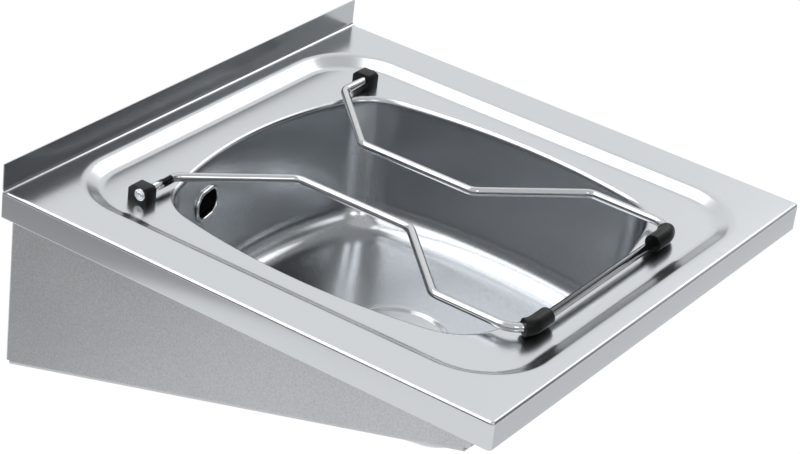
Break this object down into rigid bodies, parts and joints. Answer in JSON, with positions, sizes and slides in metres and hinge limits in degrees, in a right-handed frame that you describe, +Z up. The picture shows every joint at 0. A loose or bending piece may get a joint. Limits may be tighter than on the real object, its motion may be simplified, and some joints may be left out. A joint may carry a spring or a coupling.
{
  "type": "slop sink",
  "caption": "Wall-hung slop sink: pressed deck with upstand, deep welded bowl, folded wall brackets, hinged bucket grid, strainer waste and overflow.",
  "frame": {"origin": "centre of the four wall fixing holes, on the wall's plane", "axes": "+X along the wall to the right as the user faces the sink, +Y into the wall, so the user stands at -Y, +Z up"},
  "size_m": [0.5, 0.5, 0.2312],
  "materials": {
    "deck_steel": "satin stainless sheet",
    "bowl_steel": "satin stainless sheet, brushed round the wall",
    "bracket_steel": "mill-finish stainless sheet",
    "fastener_steel": "plain stainless fasteners",
    "block_plastic": "moulded black nylon",
    "bar_steel": "polished stainless bar",
    "sleeve_rubber": "black rubber",
    "strainer_steel": "bright pressed stainless",
    "seal_rubber": "black rubber",
    "waste_plastic": "moulded white polypropylene",
    "bezel_steel": "polished stainless",
    "pad_rubber": "dark bitumen sheet"
  },
  "bodies": {
    "sink": {"deck": "deck_steel", "bowl": "bowl_steel", "left_bracket": "bracket_steel", "right_bracket": "bracket_steel", "weld_studs": "fastener_steel", "stud_washers": "fastener_steel", "stud_nuts": "fastener_steel", "pivot_block_left": "block_plastic", "pivot_block_right": "block_plastic", "pivot_screws": "fastener_steel", "pivot_washers": "fastener_steel", "strainer": "strainer_steel", "strainer_screw": "fastener_steel", "strainer_seal": "seal_rubber", "waste_body": "waste_plastic", "waste_gasket": "seal_rubber", "overflow_bezel": "bezel_steel", "overflow_seal": "seal_rubber", "overflow_head": "waste_plastic", "overflow_studs": "fastener_steel", "overflow_nuts": "fastener_steel", "overflow_pipe": "waste_plastic", "pipe_nuts": "waste_plastic", "drum_pad": "pad_rubber"},
    "grid": {"grid_bar": "bar_steel", "sleeve_left": "sleeve_rubber", "sleeve_right": "sleeve_rubber", "bar_rings": "bar_steel"}
  },
  "joints": [
    {"name": "grid_hinge", "type": "hinge", "parent": "sink", "child": "grid", "pos_m": [0, -0.084, 0.1003], "axis": [-1, 0, 0], "range_deg": [0, 102]}
  ]
}
